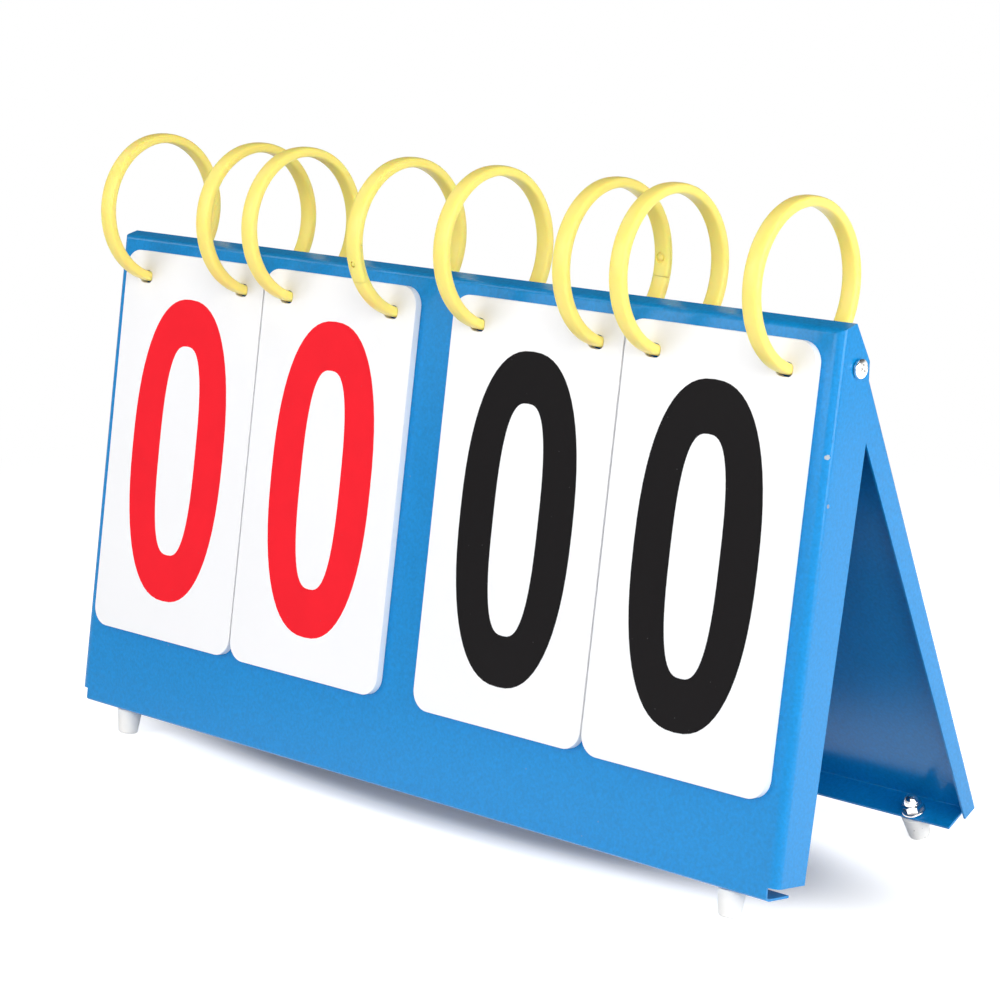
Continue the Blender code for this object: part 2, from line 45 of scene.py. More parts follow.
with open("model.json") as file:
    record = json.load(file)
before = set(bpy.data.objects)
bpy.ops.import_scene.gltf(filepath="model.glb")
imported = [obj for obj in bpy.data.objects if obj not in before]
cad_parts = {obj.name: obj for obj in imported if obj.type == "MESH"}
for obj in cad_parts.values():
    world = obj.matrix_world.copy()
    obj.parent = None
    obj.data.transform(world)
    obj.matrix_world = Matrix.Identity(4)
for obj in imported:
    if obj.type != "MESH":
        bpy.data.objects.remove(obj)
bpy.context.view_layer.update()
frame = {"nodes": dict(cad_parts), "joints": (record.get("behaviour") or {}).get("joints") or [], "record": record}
JOINTS = {joint["name"]: Vector(joint["pos_m"]) for joint in frame["joints"]}
MOUNTS = {mount["name"]: mount for mount in frame["record"]["mounts"]}

MM = 0.001

STACKS = ("red_tens", "red_ones", "black_tens", "black_ones")
SIDES = ("left", "right")

# Front tray: its lean, half its width, the outer radius of its side folds and its sheet
FRONT_LEAN = math.radians(8.2)
FRONT_HALF = 192.5 * MM
SIDE_FOLD = 4.5 * MM
SHEET = 1.0 * MM
# Gap between pieces that bear on each other
SEAT = 0.3 * MM

# Ring centres above the front tray's top edge and behind its outer face, and where round
# each ring its snap joint lies, in degrees
RING_UP = 12.15 * MM
RING_BACK = 1.85 * MM
CLASP_ANGLES = (-62, -80, -50, 203, -68, 7, -45, -58)


def turned(degrees, axis):
    return Matrix.Rotation(math.radians(degrees), 4, axis)


def front_matrix():
    """From the front tray's own frame, from its top outer edge, to the stand's."""
    turn = Matrix.Rotation(-FRONT_LEAN, 4, "X")
    centre = JOINTS["ring_1_turn"].copy()
    centre.x = 0.0
    turn.translation = centre - turn.to_3x3() @ Vector((0, RING_BACK, RING_UP))
    return turn


FRONT = front_matrix()


# Sizes and colours a user would change


def length_prop(name, value, description):
    return bpy.props.FloatProperty(
        name=name, description=description, default=value * MM, min=0.0,
        unit="LENGTH", precision=5,
    )


def colour_prop(name, value, description):
    return bpy.props.FloatVectorProperty(
        name=name, description=description, default=value, min=0.0, max=1.0,
        size=3, subtype="COLOR",
    )


class ScoreboardSizes(bpy.types.PropertyGroup):
    sheet_edge: length_prop("Sheet edge", 0.22, "Rounding of the coated sheet's edges")
    ring_radius: length_prop("Ring radius", 32.3, "Outer radius of a binder ring")
    ring_depth: length_prop("Ring depth", 4.2, "Thickness of a ring, towards its centre")
    ring_width: length_prop("Ring width", 7.0, "Width of a ring along its axis")
    ring_corner: length_prop("Ring corner", 1.3, "Rounding of the ring's section")
    leaf_width: length_prop("Leaf width", 86.625, "Width of a number leaf")
    leaf_height: length_prop("Leaf height", 166.0, "Height of a number leaf")
    leaf_corner: length_prop("Leaf corner", 8.0, "Corner radius of a number leaf")
    leaf_thickness: length_prop("Leaf thickness", 0.30, "Thickness of a number leaf")
    leaf_pitch: length_prop("Leaf pitch", 0.32, "Distance from one leaf to the next")


class ScoreboardColours(bpy.types.PropertyGroup):
    coat: colour_prop("Powder coat", (0.003, 0.245, 0.605), "Blue of the two trays")
    plastic: colour_prop("Ring plastic", (1.0, 0.80, 0.20), "Yellow of the binder rings")
    leaf: colour_prop("Leaf", (0.92, 0.92, 0.93), "Coated sheet of the leaves")
    red_ink: colour_prop("Red ink", (0.90, 0.014, 0.027), "Figures of the home side")
    black_ink: colour_prop("Black ink", (0.006, 0.005, 0.0055), "Figures of the guests")
    rubber: colour_prop("Foot rubber", (0.90, 0.88, 0.84), "Moulded rubber feet")
    steel: colour_prop("Plated steel", (0.80, 0.79, 0.78), "Nuts and screws")


def sizes():
    return bpy.context.scene.scoreboard_sizes


def colours():
    return bpy.context.scene.scoreboard_colours


# Shader building

WHITE = (1.0, 1.0, 1.0)
RANGE_SOCKETS = ("From Min", "From Max", "To Min", "To Max")


def set_input(tree, socket, value):
    """Links a socket to another node's output, or sets it to a plain value."""
    if isinstance(value, bpy.types.NodeSocket):
        tree.links.new(value, socket)
    elif socket.type == "RGBA" and len(value) == 3:
        socket.default_value = (*value, 1.0)
    else:
        socket.default_value = value


def add_node(tree, kind, place, inputs=None, **settings):
    """A node with its settings made, then its inputs given by name or number."""
    node = tree.nodes.new(kind)
    node.location = place
    for name, value in settings.items():
        setattr(node, name, value)
    for label, value in (inputs or {}).items():
        set_input(tree, node.inputs[label], value)
    return node


def maths(tree, operation, place, *values):
    node = add_node(
        tree, "ShaderNodeMath", place, dict(enumerate(values)), operation=operation
    )
    return node.outputs[0]


def vector_maths(tree, operation, place, *values):
    """As maths, on vectors; a distance or a length comes out as a number."""
    node = add_node(
        tree, "ShaderNodeVectorMath", place, dict(enumerate(values)), operation=operation
    )
    return node.outputs["Value" if operation in ("DISTANCE", "LENGTH") else "Vector"]


def map_range(tree, value, place, ends, ease="LINEAR"):
    """Moves a value between ranges; ends are from low and high, then to low and high."""
    inputs = {"Value": value, **dict(zip(RANGE_SOCKETS, ends))}
    node = add_node(tree, "ShaderNodeMapRange", place, inputs, interpolation_type=ease)
    return node.outputs[0]


def mix_shaders(tree, place, factor, first, second):
    inputs = {0: factor, 1: first, 2: second}
    return add_node(tree, "ShaderNodeMixShader", place, inputs).outputs[0]


def new_group(name, inputs, outputs):
    """An empty node group: its tree, the sockets it is given and those it results in."""
    tree = bpy.data.node_groups.new(name, "ShaderNodeTree")
    for label, kind, default in inputs:
        socket = tree.interface.new_socket(
            name=label, in_out="INPUT", socket_type=f"NodeSocket{kind}"
        )
        socket.default_value = default
    for label, kind in outputs:
        tree.interface.new_socket(
            name=label, in_out="OUTPUT", socket_type=f"NodeSocket{kind}"
        )
    start = add_node(tree, "NodeGroupInput", (-900, 0))
    end = add_node(tree, "NodeGroupOutput", (600, 0))
    return tree, start.outputs, end.inputs


def shared_group(name, builder):
    return bpy.data.node_groups.get(name) or builder(name)


def cloudy_group(name):
    """Soft uneven colour: a base colour drifts between a darker and a lighter tone."""
    tree, given, result = new_group(
        name,
        [
            ("Colour", "Color", (0.5, 0.5, 0.5, 1.0)),
            ("Scale", "Float", 20.0),
            ("Amount", "Float", 0.05),
            ("Vector", "Vector", (0.0, 0.0, 0.0)),
        ],
        [("Colour", "Color"), ("Cloud", "Float")],
    )
    noise = add_node(
        tree, "ShaderNodeTexNoise", (-650, 100),
        {"Vector": given["Vector"], "Scale": given["Scale"], "Detail": 3.0},
    )
    cloud = noise.outputs["Fac"]
    centred = maths(tree, "SUBTRACT", (-450, 100), cloud, 0.5)
    swing = maths(tree, "MULTIPLY", (-270, 100), centred, given["Amount"])
    level = maths(tree, "ADD", (-100, 100), swing, 1.0)
    tint = add_node(
        tree, "ShaderNodeHueSaturation", (150, 0),
        {"Value": level, "Color": given["Colour"]},
    )
    set_input(tree, result["Colour"], tint.outputs[0])
    set_input(tree, result["Cloud"], cloud)
    return tree


def specks_group(name):
    """Sparse specks: a mask that is 1 inside small dots scattered over the surface."""
    tree, given, result = new_group(
        name,
        [
            ("Vector", "Vector", (0.0, 0.0, 0.0)),
            ("Scale", "Float", 150.0),
            ("Size", "Float", 0.06),
            ("Share", "Float", 0.1),
        ],
        [("Mask", "Float")],
    )
    cells = add_node(
        tree, "ShaderNodeTexVoronoi", (-650, 100),
        {"Vector": given["Vector"], "Scale": given["Scale"]},
    )
    split = add_node(
        tree, "ShaderNodeSeparateColor", (-400, -50), {0: cells.outputs["Color"]}
    )
    inside = maths(
        tree, "LESS_THAN", (-400, 150), cells.outputs["Distance"], given["Size"]
    )
    chosen = maths(tree, "LESS_THAN", (-200, -50), split.outputs[0], given["Share"])
    both = maths(tree, "MULTIPLY", (0, 100), inside, chosen)
    set_input(tree, result["Mask"], both)
    return tree


def grain_group(name):
    """Fine surface relief, such as orange peel or mould grain, as a height in metres."""
    tree, given, result = new_group(
        name,
        [
            ("Vector", "Vector", (0.0, 0.0, 0.0)),
            ("Scale", "Float", 600.0),
            ("Height", "Float", 0.00001),
            ("Broad Scale", "Float", 15.0),
            ("Broad Height", "Float", 0.00001),
        ],
        [("Height", "Float")],
    )
    heights = []
    for size, detail, row in (("", 2.0, 200), ("Broad ", 1.0, -100)):
        noise = add_node(
            tree, "ShaderNodeTexNoise", (-650, row),
            {"Vector": given["Vector"], "Scale": given[f"{size}Scale"], "Detail": detail},
        )
        height = given[f"{size}Height"]
        heights.append(maths(tree, "MULTIPLY", (-400, row), noise.outputs["Fac"], height))
    set_input(tree, result["Height"], maths(tree, "ADD", (-150, 50), *heights))
    return tree


def spot_group(name):
    """A small round spot with a ragged rim: 1 inside, 0 outside."""
    tree, given, result = new_group(
        name,
        [
            ("Vector", "Vector", (0.0, 0.0, 0.0)),
            ("Centre", "Vector", (0.0, 0.0, 0.0)),
            ("Radius", "Float", 0.001),
        ],
        [("Mask", "Float")],
    )
    noise = add_node(
        tree, "ShaderNodeTexNoise", (-650, -150),
        {"Vector": given["Vector"], "Scale": 1500.0},
    )
    ragged = maths(tree, "MULTIPLY_ADD", (-450, -150), noise.outputs["Fac"], 1.1, 0.45)
    apart = vector_maths(tree, "DISTANCE", (-650, 100), given["Vector"], given["Centre"])
    share = maths(tree, "DIVIDE", (-400, 100), apart, given["Radius"])
    inside = maths(tree, "LESS_THAN", (-200, 0), share, ragged)
    set_input(tree, result["Mask"], inside)
    return tree


class Finish:
    """A material under construction: its tree, shader and object coordinates."""

    def __init__(self, name, **sockets):
        self.material = bpy.data.materials.new(name)
        self.material.use_nodes = True
        self.tree = self.material.node_tree
        self.shader = self.tree.nodes["Principled BSDF"]
        self.shader.location = (300, 0)
        for label, value in sockets.items():
            self.shader.inputs[label.replace("_", " ")].default_value = value
        coordinates = add_node(self.tree, "ShaderNodeTexCoord", (-1400, 0))
        self.spot = coordinates.outputs["Object"]

    def group(self, name, builder, place, **values):
        """A shared effect laid over the piece, with this material's values."""
        inputs = {label.replace("_", " "): value for label, value in values.items()}
        return add_node(
            self.tree, "ShaderNodeGroup", place, {**inputs, "Vector": self.spot},
            node_tree=shared_group(name, builder),
        )

    def clouded(self, colour, scale, amount):
        """The uneven colour, and the cloud that it follows."""
        node = self.group(
            "uneven colour", cloudy_group, (-1100, 200),
            Colour=colour, Scale=scale, Amount=amount,
        )
        return node.outputs

    def specks(self, scale, size, share):
        node = self.group(
            "specks", specks_group, (-850, 400), Scale=scale, Size=size, Share=share
        )
        return node.outputs[0]

    def grain(self, scale, height, broad_scale, broad_height):
        node = self.group(
            "surface grain", grain_group, (-600, -600), Scale=scale, Height=height,
            Broad_Scale=broad_scale, Broad_Height=broad_height,
        )
        return node.outputs[0]

    def maths(self, operation, place, *values):
        return maths(self.tree, operation, place, *values)

    def mix(self, factor, first, second, place):
        """Blends two colours; each is a socket or a plain colour."""
        inputs = {0: factor, 6: first, 7: second}
        node = add_node(self.tree, "ShaderNodeMix", place, inputs, data_type="RGBA")
        return node.outputs[2]

    def done(self, colour, cloud, roughness, height):
        """Gives the shader its colour, relief, and a roughness that follows the cloud."""
        rough = map_range(self.tree, cloud, (-400, -50), (0.0, 1.0, *roughness))
        bump = add_node(
            self.tree, "ShaderNodeBump", (50, -400),
            {"Strength": 1.0, "Distance": 1.0, "Height": height},
        )
        finished = {"Base Color": colour, "Roughness": rough, "Normal": bump.outputs[0]}
        for label, value in finished.items():
            set_input(self.tree, self.shader.inputs[label], value)
        return self.material


# Two small grey spots on the right fold of the front tray, slightly sunk into the coat: down from its top in
# millimetres, degrees round the fold, radius in millimetres, and their colour
FOLD_SPOTS = (
    (46.9, 42.0, 0.95, (0.40, 0.47, 0.52)),
    (64.2, 72.0, 0.7, (0.24, 0.32, 0.42)),
)
NIB_HEIGHT = 0.00002
FOLD_SPOT_DEPTH = 0.00008


def coat_material():
    """Glossy powder coat: orange peel, dust nibs, paler edges (partly a thin coat, partly a painted highlight),
    two small grey spots on the right fold.
    """
    colour = tuple(colours().coat)
    made = Finish("blue_coat", IOR=1.5, Specular_IOR_Level=0.28)
    broad = made.clouded(colour, 9.0, 0.10)
    fine = made.clouded(broad[0], 800.0, 0.55)
    edge = add_node(
        made.tree, "ShaderNodeAttribute", (-1100, -100), attribute_name="sheet_edge"
    )
    # Rounded edges turn paler: partly a thinner coat, partly a painted highlight where the edges catch the light.
    thin_coat_and_highlight = made.maths("MULTIPLY", (-850, -100), edge.outputs["Fac"], 0.55)
    pale = tuple(min(1.0, c * 1.15 + 0.03) for c in colour)
    shade = made.mix(thin_coat_and_highlight, fine[0], pale, (-600, 200))
    nibs = made.specks(130.0, 0.05, 0.14)
    dusty = tuple(c * 0.8 + 0.06 for c in colour)
    shade = made.mix(nibs, shade, dusty, (-400, 200))
    masks = []
    # Two small grey spots on the right fold, slightly sunk into the coat.
    for row, (down, turn, radius, spot_colour) in enumerate(FOLD_SPOTS):
        out = SIDE_FOLD * math.sin(math.radians(turn))
        inward = SIDE_FOLD * (1 - math.cos(math.radians(turn)))
        centre = FRONT @ Vector((FRONT_HALF - SIDE_FOLD + out, inward, -down * MM))
        chip = made.group(
            "chip", spot_group, (-850, -300 - 200 * row), Radius=radius * MM,
            Centre=centre,
        )
        masks.append(chip.outputs[0])
        shade = made.mix(chip.outputs[0], shade, spot_colour, (-250 + 150 * row, 300))
    fold_spots = made.maths("MAXIMUM", (-600, -300), *masks)
    raised = made.maths("MULTIPLY", (-600, -850), nibs, NIB_HEIGHT)
    sunk = made.maths("MULTIPLY", (-400, -850), fold_spots, -FOLD_SPOT_DEPTH)
    grain = made.grain(700.0, 0.000012, 35.0, 0.00008)
    height = made.maths("ADD", (-350, -600), grain, raised)
    height = made.maths("ADD", (-150, -600), height, sunk)
    return made.done(shade, broad[1], (0.19, 0.265), height)


def plastic_material():
    """Slightly translucent moulded plastic with a satin gloss."""
    made = Finish(
        "yellow_moulding",
        IOR=1.49,
        Specular_IOR_Level=0.35,
        Subsurface_Weight=0.45,
        Subsurface_Radius=(1.0, 0.5, 0.15),
        Subsurface_Scale=0.003,
    )
    colour, cloud = made.clouded(tuple(colours().plastic), 45.0, 0.06)
    grain = made.grain(1100.0, 0.000006, 120.0, 0.00006)
    return made.done(colour, cloud, (0.3, 0.44), grain)


def leaf_material():
    """Coated plastic sheet, a little uneven in its sheen."""
    made = Finish("coated_leaf", IOR=1.46)
    colour, cloud = made.clouded(tuple(colours().leaf), 14.0, 0.03)
    grain = made.grain(900.0, 0.000005, 22.0, 0.0004)
    return made.done(colour, cloud, (0.32, 0.46), grain)


def ink_material(name):
    """Screen-printed ink: opaque, a little dry, with pinholes and a drift in density."""
    ink = tuple(getattr(colours(), name))
    made = Finish(name, IOR=1.45, Specular_IOR_Level=0.09)
    colour, cloud = made.clouded(ink, 60.0, 0.14)
    pale = tuple(c * 0.75 + 0.05 for c in ink)
    colour = made.mix(made.specks(420.0, 0.09, 0.10), colour, pale, (-500, 200))
    grain = made.grain(1500.0, 0.000008, 22.0, 0.0004)
    return made.done(colour, cloud, (0.36, 0.5), grain)


def rubber_material():
    """Cream moulded rubber with small dust specks."""
    rubber = tuple(colours().rubber)
    made = Finish("moulded_rubber", IOR=1.5)
    colour, cloud = made.clouded(rubber, 220.0, 0.14)
    dusty = tuple(c * 0.6 for c in rubber)
    colour = made.mix(made.specks(420.0, 0.14, 0.07), colour, dusty, (-500, 200))
    grain = made.grain(2500.0, 0.00001, 300.0, 0.00002)
    return made.done(colour, cloud, (0.5, 0.75), grain)


def steel_material():
    """Bright nickel plate, finely scuffed."""
    made = Finish("nickel_plate", Metallic=1.0)
    colour, cloud = made.clouded(tuple(colours().steel), 300.0, 0.12)
    grain = made.grain(3000.0, 0.000003, 500.0, 0.000008)
    return made.done(colour, cloud, (0.08, 0.28), grain)


def finish(name, builder, *extra):
    """The finish of that name, made the first time it is asked for."""
    return bpy.data.materials.get(name) or builder(*extra)


# Mesh building


def new_object(name, shape):
    """An object in the scene from a bmesh, which is used up."""
    mesh = bpy.data.meshes.new(name)
    shape.to_mesh(mesh)
    shape.free()
    item = bpy.data.objects.new(name, mesh)
    bpy.context.scene.collection.objects.link(item)
    return item


def keep_piece(name, shape, materials, body, node, smooth=None):
    """Turns a bmesh, in its place on the stand, into a finished piece on its body.

    It stands for a CAD node. Smooth is the least angle, in degrees, that stays sharp.
    """
    piece = new_object(name, shape)
    for material in materials:
        piece.data.materials.append(material)
    if smooth:
        piece.data.shade_smooth()
        piece.data.set_sharp_from_angle(angle=math.radians(smooth))
    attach(piece, body)
    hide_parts(node)
    return piece


def keep_copies(pattern, prefix, material, smooth, places):
    """A copy of a pattern at each place: a CAD node, its body and a matrix."""
    for node, body, matrix in places:
        shape = placed(pattern.copy(), matrix)
        keep_piece(f"{prefix}_{node}", shape, [material], body, node, smooth)
    pattern.free()


def placed(shape, matrix):
    """The same bmesh, moved and turned."""
    bmesh.ops.transform(shape, matrix=matrix, verts=shape.verts)
    return shape


def combined(shape, *cuts):
    """A bmesh after Boolean steps; each is (operation, bmesh), and all are used up."""
    item = new_object("scratch", shape)
    others = []
    for operation, other in cuts:
        others.append(new_object("scratch_cut", other))
        step = item.modifiers.new(operation, "BOOLEAN")
        step.operation = operation
        step.solver = "EXACT"
        step.object = others[-1]
    graph = bpy.context.evaluated_depsgraph_get()
    mesh = bpy.data.meshes.new_from_object(item.evaluated_get(graph))
    made = bmesh.new()
    made.from_mesh(mesh)
    bpy.data.meshes.remove(mesh)
    for used in (item, *others):
        data = used.data
        bpy.data.objects.remove(used, do_unlink=True)
        bpy.data.meshes.remove(data)
    return made


def spun(points, axis, steps, closed=False):
    """A solid from points joined in a row, or a loop, and turned fully round an axis."""
    shape = bmesh.new()
    row = [shape.verts.new(point) for point in points]
    onward = row[1:] + row[:1] if closed else row[1:]
    edges = [shape.edges.new(pair) for pair in zip(row, onward)]
    bmesh.ops.spin(
        shape, geom=row + edges, cent=(0, 0, 0), axis=axis, dvec=(0, 0, 0),
        angle=math.tau, steps=steps, use_merge=True, use_normal_flip=False,
        use_duplicate=False,
    )
    bmesh.ops.remove_doubles(shape, verts=shape.verts, dist=1e-7)
    bmesh.ops.recalc_face_normals(shape, faces=shape.faces)
    return shape


def lathe(outline, steps=48):
    """Solid of revolution about Z from an open (radius, height) outline."""
    return spun([(radius, 0, height) for radius, height in outline], (0, 0, 1), steps)


def prism(outline, low, high):
    """A closed (x, y) outline between two heights on Z."""
    shape = bmesh.new()
    face = shape.faces.new([shape.verts.new((x, y, low)) for x, y in outline])
    raise_faces(shape, [face], (0, 0, high - low))
    return shape


def raise_faces(shape, faces, way):
    """Makes flat faces a closed solid whose other side lies a given way from them."""
    swept = bmesh.ops.extrude_face_region(shape, geom=faces)["geom"]
    moved = [item for item in swept if isinstance(item, bmesh.types.BMVert)]
    bmesh.ops.translate(shape, verts=moved, vec=way)
    bmesh.ops.recalc_face_normals(shape, faces=shape.faces)


def in_metres(outline):
    return [(x * MM, y * MM) for x, y in outline]


def arc(centre, radius, start, end, steps):
    """(x, y) points of an arc, angles in degrees."""
    turns = [math.radians(start + (end - start) * n / steps) for n in range(steps + 1)]
    x, y = centre
    return [(x + radius * math.cos(t), y + radius * math.sin(t)) for t in turns]


def dome(radius, base, rise, angles):
    """(radius, height) points of a dome, at angles in degrees from its top."""
    turns = [math.radians(angle) for angle in angles]
    return [(radius * math.sin(t), base + rise * math.cos(t)) for t in turns]


# Trays

# How close corners of the CAD's loose triangles are to be one corner, how flat faces are
# to be one face, and how sharp an edge is to be rounded
WELD = 2e-6
FLAT = math.radians(1.0)
SHARP = 0.7


def dressed_tray(node, body, material):
    """The CAD tray's own sheet with rounded edges, the edge faces marked for a paler colour: partly a thin coat,
    partly a painted highlight.
    """
    shape = bmesh.new()
    shape.from_mesh(frame["nodes"][node].data)
    bmesh.ops.remove_doubles(shape, verts=shape.verts, dist=WELD)
    bmesh.ops.dissolve_limit(
        shape, angle_limit=FLAT, use_dissolve_boundaries=False, verts=shape.verts,
        edges=shape.edges,
    )
    mark = shape.faces.layers.float.new("sheet_edge")
    inner = [edge for edge in shape.edges if len(edge.link_faces) == 2]
    made = bmesh.ops.bevel(
        shape, geom=[edge for edge in inner if edge.calc_face_angle() > SHARP],
        offset=sizes().sheet_edge, offset_type="OFFSET", segments=2, profile=0.5,
        affect="EDGES", clamp_overlap=True, material=-1,
    )
    for face in made["faces"]:
        face[mark] = 1.0
    piece = keep_piece(
        f"{node}_sheet", shape, [material], body, node, 50
    )
    firm = piece.modifiers.new("firm faces", "WEIGHTED_NORMAL")
    firm.keep_sharp = True


# Rings

# How far a ring's faces are crowned, and how far it stays inside its full radius
CROWN = 0.18 * MM
INSIDE = 0.02 * MM
# Snap joint: half the length of its tongues in degrees, and the slit between them; radius
# of the stud, of its hole and at the two ends of the pocket on the inner face
SNAP_HALF = 14
SNAP_SLIT = 0.14 * MM
STUD_RADIUS = 1.0 * MM
STUD_HOLE = 1.3 * MM
POCKET = (2.1 * MM, 2.4 * MM)


def ring_section():
    """(x, radius) outline of the ring: rounded corners and slightly crowned faces."""
    size = sizes()
    half, corner = size.ring_width / 2, size.ring_corner
    outer, inner = size.ring_radius - INSIDE, size.ring_radius - size.ring_depth
    points = []
    for sign_x, sign_r, start in ((1, 1, 0), (-1, 1, 90), (-1, -1, 180), (1, -1, 270)):
        crest = outer if sign_r > 0 else inner
        centre = (sign_x * (half - corner), crest - sign_r * (CROWN + corner))
        points += arc(centre, corner, start, start + 90, 4)
        if start in (0, 180):
            points += [
                (sign_x * half * share, crest - sign_r * CROWN * share**2 * 1.6)
                for share in (0.4, 0.2, 0.0, -0.2, -0.4)
            ]
    return points


def snap_slit():
    """A thin cut through a ring, about X: between its two tongues and past their ends."""
    size = sizes()
    middle = size.ring_radius - size.ring_depth / 2
    past = size.ring_depth
    gap = math.degrees(SNAP_SLIT / middle)
    near, far = SNAP_HALF, SNAP_HALF + gap
    outline = arc((0, 0), middle + SNAP_SLIT / 2, near, -far, 8)
    outline += arc((0, 0), size.ring_radius - 2 * past, -far, -near, 1)
    outline += arc((0, 0), middle - SNAP_SLIT / 2, -near, far, 8)
    outline += arc((0, 0), size.ring_radius + past, far, near, 1)
    slit = prism(outline, -size.ring_width, size.ring_width)
    return placed(slit, turned(90, "Y") @ turned(90, "Z"))


def ring_shape():
    """One ring about X, centred on the origin, its snap joint at angle 0 on +Y."""
    size = sizes()
    section = [(x, radius, 0) for x, radius in ring_section()]
    ring = spun(section, (1, 0, 0), 96, closed=True)
    middle = size.ring_radius - size.ring_depth / 2
    head, inside = size.ring_radius - 0.2 * MM, size.ring_radius - size.ring_depth
    bottom, rim = middle - 0.6 * MM, middle + size.ring_depth
    floor, mouth = inside + 0.7 * MM, inside - 0.5 * MM
    hole = [(0, middle), (STUD_HOLE, middle), (STUD_HOLE, rim), (0, rim)]
    stud = [(0, bottom), (STUD_RADIUS, bottom), (STUD_RADIUS, head - 0.4 * MM),
            (0.85 * MM, head - 0.12 * MM), (0.5 * MM, head), (0, head)]
    pocket = [(0, floor), (POCKET[0], floor), (POCKET[1], mouth), (0, mouth)]
    boss = [(0, middle), (STUD_HOLE, middle), (STUD_HOLE, inside + 0.3 * MM),
            (0.9 * MM, inside - 0.05 * MM), (0, inside - 0.25 * MM)]
    steps = [("DIFFERENCE", snap_slit())]
    for operation, outline, count in (
        ("DIFFERENCE", hole, 24), ("UNION", stud, 24),
        ("DIFFERENCE", pocket, 28), ("UNION", boss, 24),
    ):
        steps.append((operation, placed(lathe(outline, count), turned(-90, "X"))))
    return combined(ring, *steps)


# Number leaves

# Half width and half height of a zero's outside and of its hollow, and how square each
# is; then how square the other figures' bowls and hollows are
BOWL = (28.7, 65.45, 2.41)
HOLLOW = (11.4, 45.3, 2.8)
BOWL_SQUARE = 2.3
HOLLOW_SQUARE = 2.5
# Half the thickness of the solids that a figure's outline is worked out with
FIGURE_HALF = 1.0 * MM

# Ring holes: how far apart, half their width and height, how square, and how far they
# hang below their rings; then from a leaf's top edge down to the figure's middle
HOLE_SPACING = 60.225 * MM
HOLE_HALF = (3.75 * MM, 2.8 * MM)
HOLE_SQUARE = 3
HOLE_SAG = 0.1 * MM
FIGURE_DOWN = 83.7 * MM
# The stack on the front tray: from the tray's top edge down, and from its outer face out
TOP_MARGIN = 6.9 * MM
STACK_BACK = 0.05 * MM
LEAVES = 10
SHEET_FACE, INK_FACE = 0, 1


def superellipse(centre, half_x, half_y, power, steps=64):
    points = []
    for step in range(steps):
        turn = math.tau * step / steps
        c, s = math.cos(turn), math.sin(turn)
        points.append((
            centre[0] + half_x * math.copysign(abs(c) ** (2 / power), c),
            centre[1] + half_y * math.copysign(abs(s) ** (2 / power), s),
        ))
    return points


def box(x0, y0, x1, y1):
    return [(x0, y0), (x1, y0), (x1, y1), (x0, y1)]


def bowl(middle, half, width=BOWL[0]):
    return ("+", superellipse((0, middle), width, half, BOWL_SQUARE))


def hollow(middle, half, width=HOLLOW[0]):
    return ("-", superellipse((0, middle), width, half, HOLLOW_SQUARE))


def figures():
    """The figures 0 to 9 as outlines joined (+) or cut (-) in turn, in millimetres."""
    w, h = BOWL[:2]
    zero = [("+", superellipse((0, 0), *BOWL)), ("-", superellipse((0, 0), *HOLLOW))]
    six = [*zero, ("-", box(0, -20, 40, 36)), bowl(-24.5, 40.95), hollow(-25, 24.5)]
    nine = [(kind, [(-x, -y) for x, y in outline]) for kind, outline in six]
    flag = [(-7, 34), (-24, 34), (-24, 47), (-13, 51), (-7, 58), (-4, h), (4, h),
            (4, 34)]
    sweep = [(-w, -h + 16), (-w, -h), (w, -h), (w, -h + 16), (-6, -h + 16),
             (-1, -h + 26), (18, -4), (26, 14), (8, 14), (-1, -4), (-20, -31)]
    arm = [(2, h), (-w - 1, -26), (-w - 1, -38), (-13, -26), (7, 38), (7, h)]
    neck = [(-w + 3, h), (-w + 20, h), (-w + 18, 8), (-8, 4), (-10, -2), (-w, -6)]
    seven = [(w, h), (w, h - 14), (14, 22), (5, -12), (1, -h), (-17, -h), (-13, -14),
             (-4, 18), (11, h - 15.5), (-w, h - 15.5), (-w, h)]
    return (
        zero,
        [("+", box(-7, -h, 12, h)), ("+", flag)],
        [bowl(27, 38.4), hollow(26, 23), ("-", box(-40, -20, 8.5, 23)),
         ("-", box(-40, -20, 40, 12)), ("+", sweep)],
        [bowl(32.5, 32.95), bowl(-29, 36.45), hollow(33.5, 17.5), hollow(-29, 20.5),
         ("-", box(-40, -26, -2, 30)), ("+", box(-8, -4, 4, 11))],
        [("+", box(2, h, 19, -h)), ("+", box(-w - 1, -38, 30, -23)), ("+", arm),
         ("-", [(2, 27), (-12.5, -23), (2, -23)])],
        [bowl(-24, 41.45), hollow(-24, 25), ("-", box(-40, -22, -6, 40)),
         ("+", box(-w + 3, h - 16, w - 3, h)), ("+", neck)],
        six,
        [("+", seven)],
        [bowl(32.5, 32.95, w - 1.5), bowl(-29, 36.45), hollow(33.5, 18.5, 10.6),
         hollow(-29.5, 21)],
        nine,
    )


def figure_loops(steps):
    """Closed outlines of a printed figure, lists of (x, y) in metres about its middle."""
    operations = {"+": "UNION", "-": "DIFFERENCE"}
    solids = [
        (operations[kind], prism(in_metres(outline), -FIGURE_HALF, FIGURE_HALF))
        for kind, outline in steps
    ]
    made = combined(solids[0][1], *solids[1:])
    bmesh.ops.remove_doubles(made, verts=made.verts, dist=1e-6)
    top = {face for face in made.faces if face.normal.z > 0.9}
    rim = [e for e in made.edges if sum(face in top for face in e.link_faces) == 1]
    meeting = {}
    for edge in rim:
        for vertex in edge.verts:
            meeting.setdefault(vertex, []).append(edge)
    loops, left = [], set(rim)
    while left:
        edge = left.pop()
        vertex, loop = edge.verts[1], [edge.verts[0]]
        while edge:
            loop.append(vertex)
            edge = next((e for e in meeting[vertex] if e in left), None)
            if edge:
                left.discard(edge)
                vertex = edge.other_vert(vertex)
        loops.append([tuple(vertex.co.xy) for vertex in loop[:-1]])
    made.free()
    return loops


